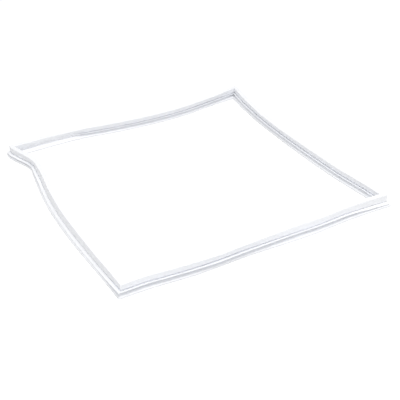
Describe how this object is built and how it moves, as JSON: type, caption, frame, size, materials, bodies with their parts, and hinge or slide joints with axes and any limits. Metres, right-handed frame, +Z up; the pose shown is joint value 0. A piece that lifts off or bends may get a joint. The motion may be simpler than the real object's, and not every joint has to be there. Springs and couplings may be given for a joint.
{
  "type": "refrigerator door gasket",
  "caption": "Soft white door seal: a closed rectangular frame of hollow lipped section with magnet strips in its flat head, lying loose and slightly wavy.",
  "frame": {"origin": "middle of the outline at the level of the base's underside", "axes": "+Z up out of the flat head that meets the cabinet, +Y along the longer pair of sides, +X along the shorter pair"},
  "size_m": [0.6206, 0.6628, 0.0274],
  "materials": {
    "vinyl": "satin",
    "magnet": "matte"
  },
  "bodies": {
    "root": {"gasket_frame": "vinyl", "magnet_strip_front": "magnet", "magnet_strip_right": "magnet", "magnet_strip_back": "magnet", "magnet_strip_left": "magnet"}
  },
  "joints": []
}
